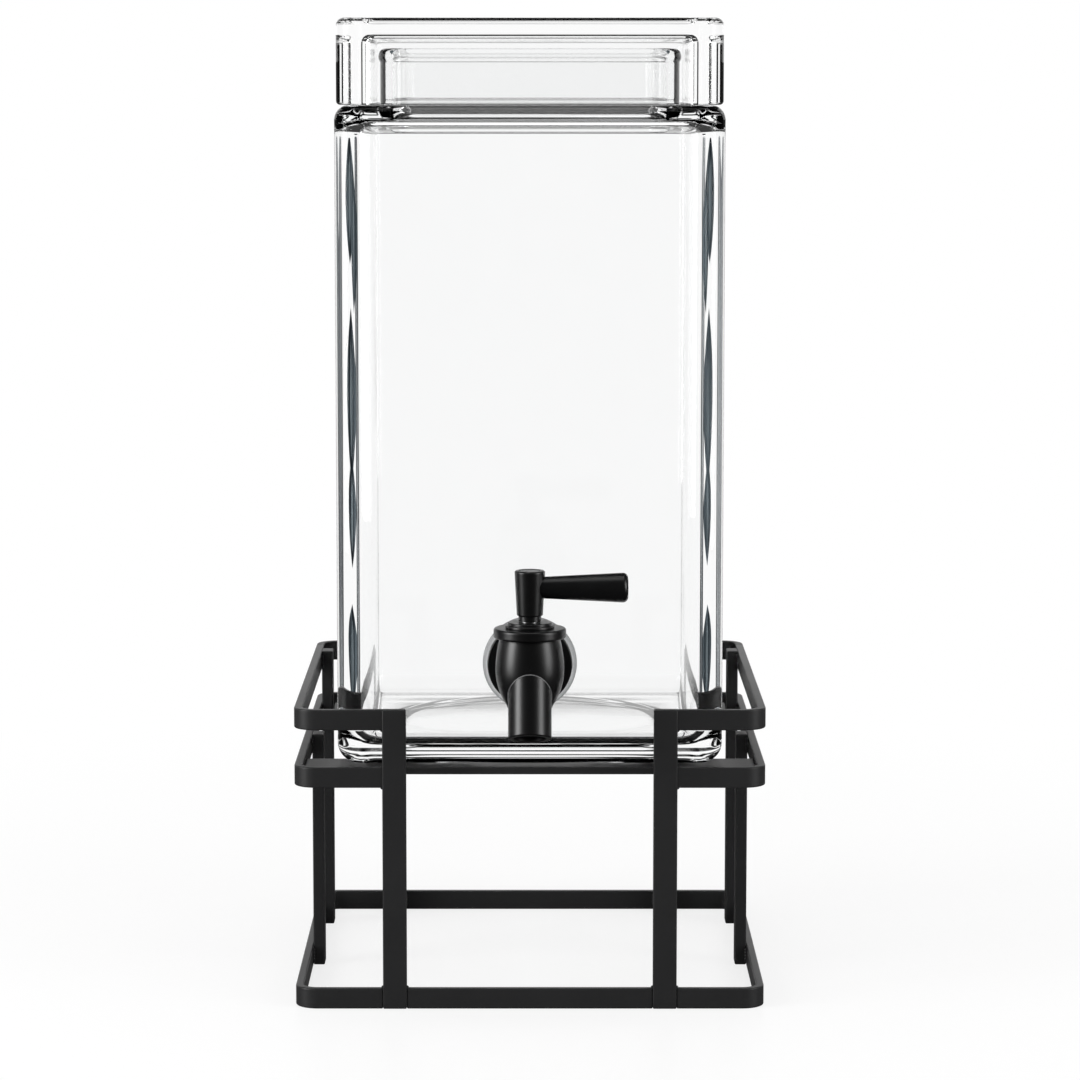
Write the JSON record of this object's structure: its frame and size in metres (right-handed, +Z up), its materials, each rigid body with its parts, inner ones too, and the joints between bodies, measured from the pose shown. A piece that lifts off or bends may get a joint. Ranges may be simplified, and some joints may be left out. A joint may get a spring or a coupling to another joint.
{
  "type": "glass beverage dispenser",
  "caption": "Square clear-glass drink dispenser with a drop-on glass lid and a black lever tap, standing in a flat-bar black metal stand that lifts the spout above a tumbler.",
  "frame": {"origin": "centre of the stand's square footprint, on the plane that the base ring rests on", "axes": "+Z up, +X to the right of someone facing the tap, +Y to the back, so the tap faces -Y"},
  "size_m": [0.2276, 0.2658, 0.476],
  "materials": {
    "stand_paint": "matt black powder coat on steel flat bar, fine grain",
    "tap_black": "satin black coating on cast and turned metal",
    "clear_glass": "clear polished pressed glass",
    "clear_silicone": "translucent pale silicone",
    "steel": "turned stainless steel"
  },
  "bodies": {
    "stand": {"base_ring": "stand_paint", "base_front_bar": "stand_paint", "shelf_ring": "stand_paint", "guard_left": "stand_paint", "guard_right": "stand_paint", "front_post_left": "stand_paint", "front_post_right": "stand_paint", "rear_post_left": "stand_paint", "rear_post_right": "stand_paint", "side_leg_left": "stand_paint", "side_leg_right": "stand_paint", "back_leg_left": "stand_paint", "back_leg_right": "stand_paint", "shelf_bar_front": "stand_paint", "shelf_bar_rear": "stand_paint"},
    "vessel": {"jar": "clear_glass", "outer_washer": "clear_silicone", "escutcheon": "tap_black", "shank": "steel", "inner_washer": "clear_silicone", "lock_nut": "steel", "tap_body": "tap_black", "spout": "tap_black", "bonnet": "tap_black", "gland": "tap_black"},
    "cover": {"lid": "clear_glass"},
    "handle": {"valve_plug": "steel", "stem_seal": "clear_silicone", "handle_hub": "tap_black", "lever": "tap_black", "handle_screw": "steel", "hub_cap": "tap_black"}
  },
  "joints": [
    {"name": "jar_lift", "type": "slide", "parent": "stand", "child": "vessel", "axis": [0, 0, 1], "range_m": [0, 0.06]},
    {"name": "lid_lift", "type": "slide", "parent": "vessel", "child": "cover", "axis": [0, 0, 1], "range_m": [0, 0.05]},
    {"name": "tap_turn", "type": "hinge", "parent": "vessel", "child": "handle", "pos_m": [0, -0.12575, 0.1665], "axis": [0, 0, -1], "range_deg": [0, 90]}
  ]
}
